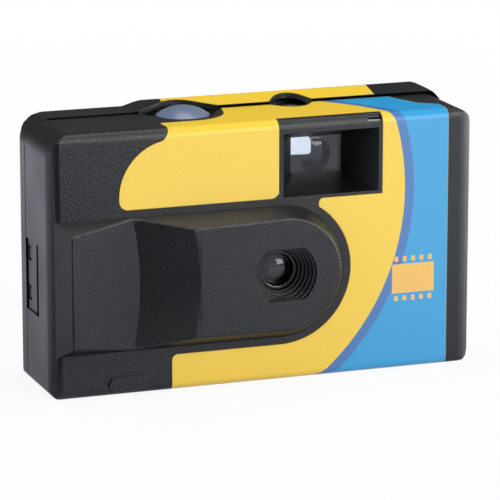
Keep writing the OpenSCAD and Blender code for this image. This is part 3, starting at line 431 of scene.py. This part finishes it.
class FILMCAM_OT_labels(bpy.types.Operator):
    """Cut the two labels with an edge in the core's colour, partly painted shade, and print them"""
    bl_idname = "filmcam.labels"
    bl_label = "Labels"

    def execute(self, context):
        scene = context.scene
        # The core's colour is partly painted shade along the label's edge
        core = plain_stock("Polypropylene label core and painted edge shade", scene.filmcam_finishes.core_and_edge_shade, 0.5, 0.4, 0.01)
        for side in ("front", "rear"):
            piece = finish_copy(side + "_label", side + "_label_film", "body")
            ink = printed_film("Polypropylene film printed " + side, scene.filmcam_prints,
                               scene.filmcam_finishes, side == "rear")
            dress(piece, core, ink)
            self.inset_print(piece, side, scene.filmcam_edges.cut_edge)
        return {"FINISHED"}

    def inset_print(self, piece, side, margin):
        """Leave a margin in the core's colour round the printed face, partly painted shade along the label's edge:
        the outer faces are inset and take the second material.
        """
        only(piece)
        bpy.ops.object.mode_set(mode="EDIT")
        bpy.ops.mesh.select_mode(type="FACE")
        bpy.ops.mesh.select_all(action="DESELECT")
        mesh = bmesh.from_edit_mesh(piece.data)
        facing = -1 if side == "front" else 1
        for face in mesh.faces:
            place, normal = face.calc_center_median(), face.normal
            face.select = (normal.y * facing > 0.3 or (place.z > TOP_Z - BEND and normal.z > 0.3)
                           or (place.z < BEND and normal.z < -0.3))
        bmesh.update_edit_mesh(piece.data)
        bpy.ops.mesh.inset(thickness=margin, use_boundary=True, use_even_offset=True)
        mesh = bmesh.from_edit_mesh(piece.data)
        for face in mesh.faces:
            face.material_index = 1 if face.select else 0
        bmesh.update_edit_mesh(piece.data)
        bpy.ops.object.mode_set(mode="OBJECT")
        even_shading(piece)


class FILMCAM_OT_controls(bpy.types.Operator):
    """Finish the shutter button, the advance wheel, the lens retainer and the frame counter"""
    bl_idname = "filmcam.controls"
    bl_label = "Controls"

    def execute(self, context):
        colours = context.scene.filmcam_finishes
        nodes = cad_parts
        dress(nodes["shutter_button"], moulded_abs("ABS button grey", colours.button, 0.5, 0.015, 0.3, 0.2))
        dress(nodes["thumbwheel"], moulded_abs("ABS wheel black", colours.trim, 0.4, 0.02, 0.38))
        ring = finish_copy("lens_retainer", "lens_retainer_ring", "body")
        bevel = ring.modifiers.new("Rounded edges", "BEVEL")
        bevel.width = context.scene.filmcam_edges.small
        bevel.segments = 2
        bpy.ops.object.modifier_apply(modifier=bevel.name)
        even_shading(ring)
        dress(ring, moulded_abs("ABS ring black", colours.trim, 0.3, 0.005, 0.25))
        dress(nodes["counter_wheel"], plain_stock("Polystyrene counter white", colours.counter, 0.4, 0.5, 0.01))
        return {"FINISHED"}


class FILMCAM_OT_optics(bpy.types.Operator):
    """Finish the clear lenses and windows"""
    bl_idname = "filmcam.optics"
    bl_label = "Optics"

    def execute(self, context):
        clear = clear_acrylic("Acrylic moulded clear", 0.0)
        satin = clear_acrylic("Acrylic moulded satin", 0.3)
        for name, made in (("taking_lens", clear), ("viewfinder_front_lens", clear), ("viewfinder_eyepiece", clear),
                           ("counter_window", satin)):
            piece = finish_copy(name, name + "_clear", "body")
            even_shading(piece)
            dress(piece, made)
        return {"FINISHED"}


class FILMCAM_OT_works(bpy.types.Operator):
    """Finish the shutter, the winding works and the film inside"""
    bl_idname = "filmcam.works"
    bl_label = "Works"

    def execute(self, context):
        colours = context.scene.filmcam_finishes
        black = moulded_abs("ABS works black", colours.works, 0.45, 0.03, 0.5)
        acetal = plain_stock("Acetal moulded natural", colours.acetal, 0.35, 0.6, 0.01, ior=1.48)
        spring = plain_stock("Spring steel drawn", linear("#b9bcc0"), 0.25, 0.2, 0.003, 1.0)
        blade = plain_stock("Steel strip blackened", linear("#0e0f11"), 0.55, 2.0, 0.0002)
        tin = plain_stock("Tinplate lacquered", linear("#8d9094"), 0.3, 0.5, 0.004, 1.0)
        velvet = plain_stock("Viscose velvet black", colours.felt, 0.95, 0.25, 0.15)
        base = plain_stock("Acetate film base", colours.film, 0.25, 0.8, 0.004)
        finishes = {
            black: ("main_frame", "lens_holder", "cassette_spool", "supply_spool"),
            acetal: ("drive_lever", "metering_lever", "sprocket"),
            spring: ("shutter_spring", "drive_spring"),
            blade: ("shutter_blade",),
            tin: ("cassette_shell", "cassette_caps"),
            velvet: ("light_trap_felt",),
            base: ("film_strip", "film_roll"),
        }
        for made, names in finishes.items():
            for name in names:
                dress(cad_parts[name], made)
        return {"FINISHED"}


# Softboxes: name, place and edge in metres, power in watts and colour, the left one cooler
SOFTBOXES = (
    ("overhead", (0.1, 0.1, 1.1), 0.7, 4.0, WHITE),
    ("left", (-1.2, -0.1, 0.5), 0.8, 6.5, (0.8, 0.9, 1)),
    ("right front", (0.7, -1.1, 0.7), 0.9, 16.5, WHITE),
    ("right end", (0.9, 0.05, 0.12), 0.4, 6.0, WHITE),
    ("back", (-0.3, 1.3, 0.45), 0.9, 10.5, WHITE),
)
# The lamps are turned to this point of the camera
AIM = Vector((0, 0, 0.03))
# Viewpoint of the photograph: place in metres, tilt and turn in degrees, focal length and sensor in millimetres
VIEW_PLACE = (-0.2790, -0.7667, 0.2263)
VIEW_TILT = 76.5
VIEW_TURN = -20
VIEW_LENS = 244.8
VIEW_SENSOR = 36
# Painted shade in the floor's reflections lies this way from the object, as of a dark card that is not in the
# scene; it is full within the first angle from that line and gone past the second, in degrees
PAINTED_SHADE_WAY = (-0.766, -0.643, 0)
PAINTED_SHADE_FULL = 31
PAINTED_SHADE_CLEAR = 38


class FILMCAM_OT_stage(bpy.types.Operator):
    """Set the pale floor, the soft lights, the white surround and the camera"""
    bl_idname = "filmcam.stage"
    bl_label = "Stage"

    def execute(self, context):
        scene = context.scene
        bpy.ops.object.select_all(action="DESELECT")
        bpy.ops.mesh.primitive_plane_add(size=8, location=(0, 0, -0.02 * MM))
        floor = context.object
        floor.name = "floor"
        dress(floor, self.pale_floor())
        for name, place, edge, power, tint in SOFTBOXES:
            bpy.ops.object.light_add(type="AREA", location=place)
            lamp = context.object
            lamp.name = name + " softbox"
            lamp.data.shape = "SQUARE"
            lamp.data.size = edge
            lamp.data.energy = power
            lamp.data.color = tint
            # The back one fills without a glare on the top
            lamp.visible_glossy = name != "back"
            lamp.rotation_euler = (AIM - Vector(place)).to_track_quat("-Z", "Y").to_euler()
        scene.world = self.white_surround()
        bpy.ops.object.camera_add(location=VIEW_PLACE,
                                  rotation=(math.radians(VIEW_TILT), 0, math.radians(VIEW_TURN)))
        camera = context.object
        camera.data.sensor_width = VIEW_SENSOR
        camera.data.lens = VIEW_LENS
        camera.data.clip_end = 20
        scene.camera = camera
        scene.view_settings.view_transform = "Standard"
        return {"FINISHED"}

    def pale_floor(self):
        """Matt white board, nine tenths white to the eye near the object, so that a soft shadow stays.

        In reflections its glow is painted dim close to the object, and painted dark on one side as shade from a
        dark card that is not in the scene."""
        made, tree, shader, coords = blank_material("Card matt white")
        shader.inputs["Base Color"].default_value = linear("#ececec")
        shader.inputs["Roughness"].default_value = 0.9
        shader.inputs["Specular IOR Level"].default_value = 0.0
        reach = node(tree, "VectorMath", {0: coords["Object"]}, operation="LENGTH")
        # Painted shade: in reflections the floor glows dimmer close to the object
        near = node(tree, "MapRange", {"Value": reach.outputs["Value"], "From Min": 0.03, "From Max": 0.2,
                                       "To Min": 0.5, "To Max": 1.0})
        # Painted shade: in reflections the floor glows dark on one side beyond the object
        way = node(tree, "VectorMath", {0: coords["Object"]}, operation="NORMALIZE")
        toward = node(tree, "VectorMath", {0: way.outputs["Vector"], 1: PAINTED_SHADE_WAY},
                      operation="DOT_PRODUCT")
        painted_side_shade = node(tree, "MapRange", {"Value": toward.outputs["Value"],
                                       "From Min": math.cos(math.radians(PAINTED_SHADE_CLEAR)),
                                       "From Max": math.cos(math.radians(PAINTED_SHADE_FULL))},
                    interpolation_type="SMOOTHSTEP")
        beyond = node(tree, "MapRange", {"Value": reach.outputs["Value"], "From Min": 0.055, "From Max": 0.07})
        dark = node(tree, "Math", {0: painted_side_shade.outputs["Result"], 1: beyond.outputs["Result"]}, operation="MULTIPLY")
        lit = node(tree, "MapRange", {"Value": dark.outputs[0], "To Min": 1.0, "To Max": 0.0})
        mirrored = node(tree, "Math", {0: near.outputs["Result"], 1: lit.outputs["Result"]}, operation="MULTIPLY")
        rays = node(tree, "LightPath").outputs
        strength = node(tree, "MapRange", {"Value": rays["Is Glossy Ray"], "To Min": 1.0,
                                           "To Max": mirrored.outputs[0]})
        tone = node(tree, "MixRGB", {0: rays["Is Glossy Ray"], 1: (1, 1, 1, 1), 2: linear("#eef3ff")})
        glow = node(tree, "Emission", {"Color": tone.outputs[0], "Strength": strength.outputs["Result"]})
        looked = node(tree, "Math", {0: rays["Is Camera Ray"], 1: rays["Is Transmission Ray"]}, operation="MAXIMUM")
        # Away from the object's shadow the board is all white to the eye
        white = node(tree, "MapRange", {"Value": reach.outputs["Value"], "From Min": 0.25, "From Max": 0.6,
                                        "To Min": 0.9, "To Max": 1.0})
        share = node(tree, "Math", {0: looked.outputs[0], 1: white.outputs["Result"], 2: rays["Is Glossy Ray"]},
                     operation="MULTIPLY_ADD", use_clamp=True)
        both = node(tree, "MixShader", {0: share.outputs[0], 1: shader.outputs[0], 2: glow.outputs[0]})
        tree.links.new(both.outputs[0], tree.nodes["Material Output"].inputs["Surface"])
        return made

    def white_surround(self):
        """World that lights softly, looks white and is dim in reflections, as a dark studio is above its table."""
        world = bpy.data.worlds.new("White surround")
        world.use_nodes = True
        tree = world.node_tree
        light = tree.nodes["Background"]
        light.inputs["Color"].default_value = (1, 1, 1, 1)
        light.inputs["Strength"].default_value = 0.12
        white = node(tree, "Background", {"Color": (1, 1, 1, 1), "Strength": 1.0})
        rays = node(tree, "LightPath").outputs
        looked = node(tree, "Math", {0: rays["Is Camera Ray"], 1: rays["Is Transmission Ray"]}, operation="MAXIMUM")
        both = node(tree, "MixShader", {0: looked.outputs[0], 1: light.outputs[0], 2: white.outputs[0]})
        tree.links.new(both.outputs[0], tree.nodes["World Output"].inputs["Surface"])
        return world


STEPS = (FILMCAM_OT_covers, FILMCAM_OT_labels, FILMCAM_OT_controls, FILMCAM_OT_optics, FILMCAM_OT_works,
         FILMCAM_OT_stage)
GROUPS = {"filmcam_edges": EdgeSizes, "filmcam_prints": PrintSizes, "filmcam_finishes": Finishes}


class FILMCAM_PT_panel(bpy.types.Panel):
    """Sizes, colours and steps of the film camera"""
    bl_label = "Film camera"
    bl_space_type = "VIEW_3D"
    bl_region_type = "UI"
    bl_category = "Film camera"

    def draw(self, context):
        for group, kind in GROUPS.items():
            box = self.layout.box()
            for name in kind.__annotations__:
                box.prop(getattr(context.scene, group), name)
        for step in STEPS:
            self.layout.operator(step.bl_idname)


CLASSES = (*GROUPS.values(), *STEPS, FILMCAM_PT_panel)


def register():
    for kind in CLASSES:
        bpy.utils.register_class(kind)
    for group, kind in GROUPS.items():
        setattr(bpy.types.Scene, group, bpy.props.PointerProperty(type=kind))


def unregister():
    for group in GROUPS:
        delattr(bpy.types.Scene, group)
    for kind in reversed(CLASSES):
        bpy.utils.unregister_class(kind)


def main():
    register()
    bpy.ops.filmcam.covers()
    bpy.ops.filmcam.labels()
    bpy.ops.filmcam.controls()
    bpy.ops.filmcam.optics()
    bpy.ops.filmcam.works()
    bpy.ops.filmcam.stage()


if __name__ == "__main__":
    main()
